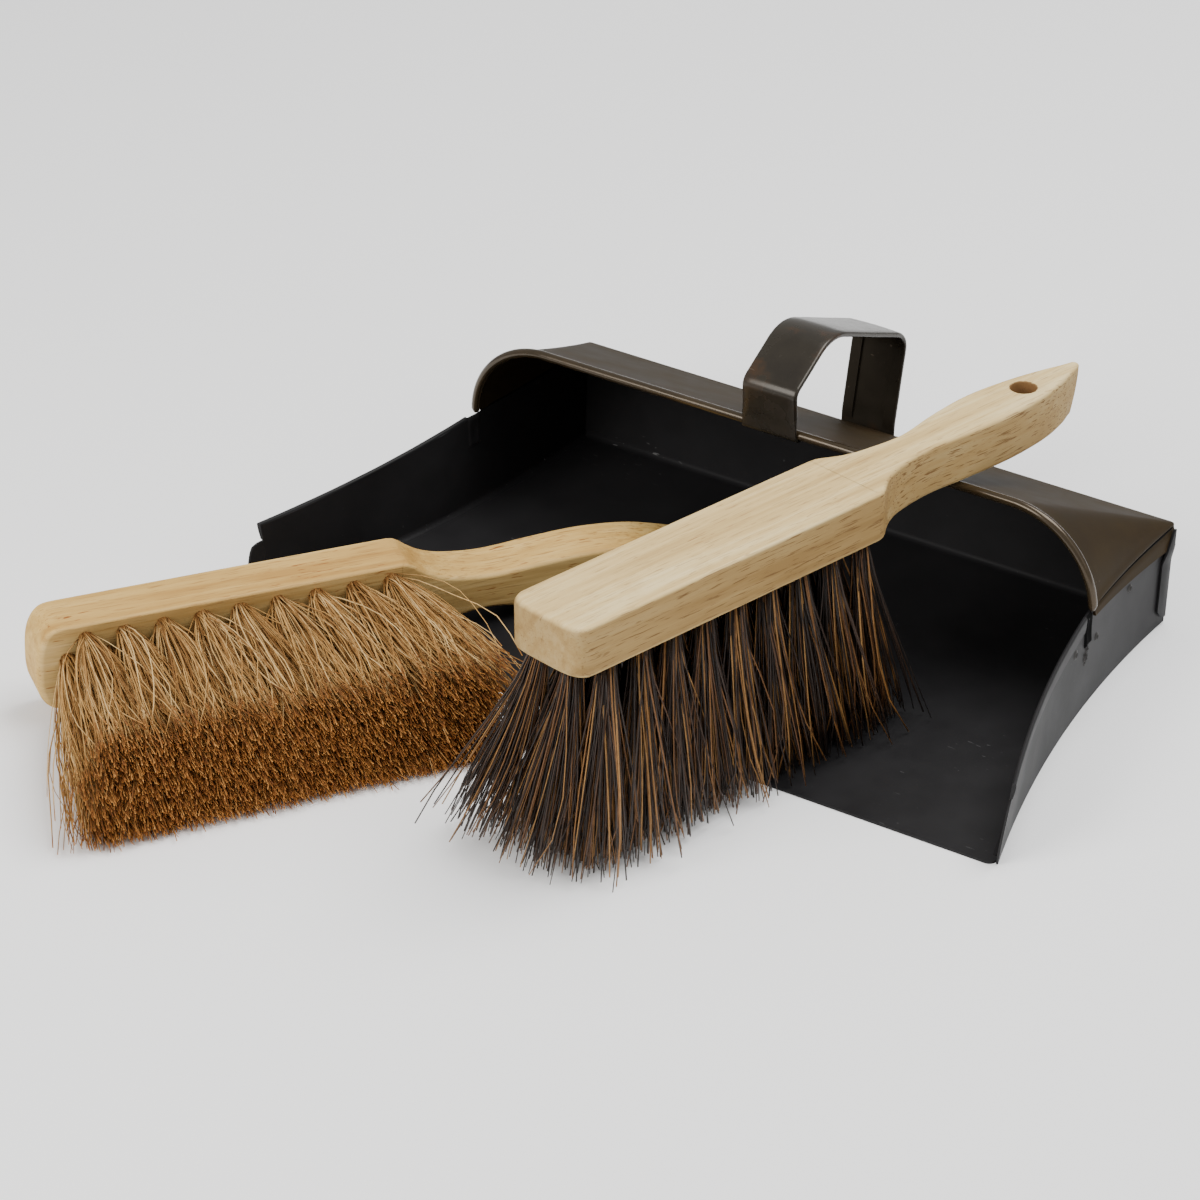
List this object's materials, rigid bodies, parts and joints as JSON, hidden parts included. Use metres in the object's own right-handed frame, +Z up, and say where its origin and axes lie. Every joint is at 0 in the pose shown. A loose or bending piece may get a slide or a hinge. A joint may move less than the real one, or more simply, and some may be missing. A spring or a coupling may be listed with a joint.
{
  "type": "dust pan and brush set",
  "caption": "Hooded sheet-steel dust pan with a strap handle, and wooden hand brushes with stiff dark and soft tan bristles resting in its mouth",
  "frame": {"origin": "middle of the underside of the pan's floor", "axes": "+Z up, +Y from the mouth to the back wall, +X to the right when looking in at the mouth"},
  "size_m": [0.3602, 0.3463, 0.1051],
  "materials": {
    "pan_steel": "black lacquer, satin",
    "hood_steel": "brown-black lacquer, glossy",
    "handle_steel": "thin brown-black lacquer, worn",
    "bare_weld": "pressed, lacquered over",
    "pale_wood": "sanded, unvarnished",
    "flecked_wood": "sanded, unvarnished",
    "bassine_fibre": "stiff plant fibre",
    "coco_fibre": "soft coconut fibre"
  },
  "bodies": {
    "pan": {"floor_panel": "pan_steel", "side_wall_right": "pan_steel", "side_wall_left": "pan_steel", "back_panel": "pan_steel", "wall_hem_right": "pan_steel", "wall_hem_left": "pan_steel", "corner_tab_right": "pan_steel", "corner_tab_left": "pan_steel", "hood_shell": "hood_steel", "hood_rear_flange": "hood_steel", "hood_bead": "hood_steel", "bead_tab_right": "pan_steel", "bead_tab_left": "pan_steel", "weld_marks_right": "bare_weld", "weld_marks_left": "bare_weld", "handle_strap": "handle_steel", "handle_hem_right": "handle_steel", "handle_hem_left": "handle_steel", "handle_clip": "handle_steel", "handle_rivets": "handle_steel"},
    "bassine_brush": {"bassine_stock": "pale_wood", "bassine_row_1": "bassine_fibre", "bassine_row_2": "bassine_fibre", "bassine_row_3": "bassine_fibre", "bassine_row_4": "bassine_fibre"},
    "coco_brush": {"coco_stock": "flecked_wood", "coco_row_1": "coco_fibre", "coco_row_2": "coco_fibre", "coco_row_3": "coco_fibre", "coco_row_4": "coco_fibre"}
  },
  "joints": [
    {"name": "bassine_lift", "type": "slide", "parent": "pan", "child": "bassine_brush", "axis": [0, 0, 1], "range_m": [0, 0.2]},
    {"name": "coco_draw", "type": "slide", "parent": "pan", "child": "coco_brush", "axis": [-0.5545, -0.8315, 0.0332], "range_m": [0, 0.2]}
  ]
}
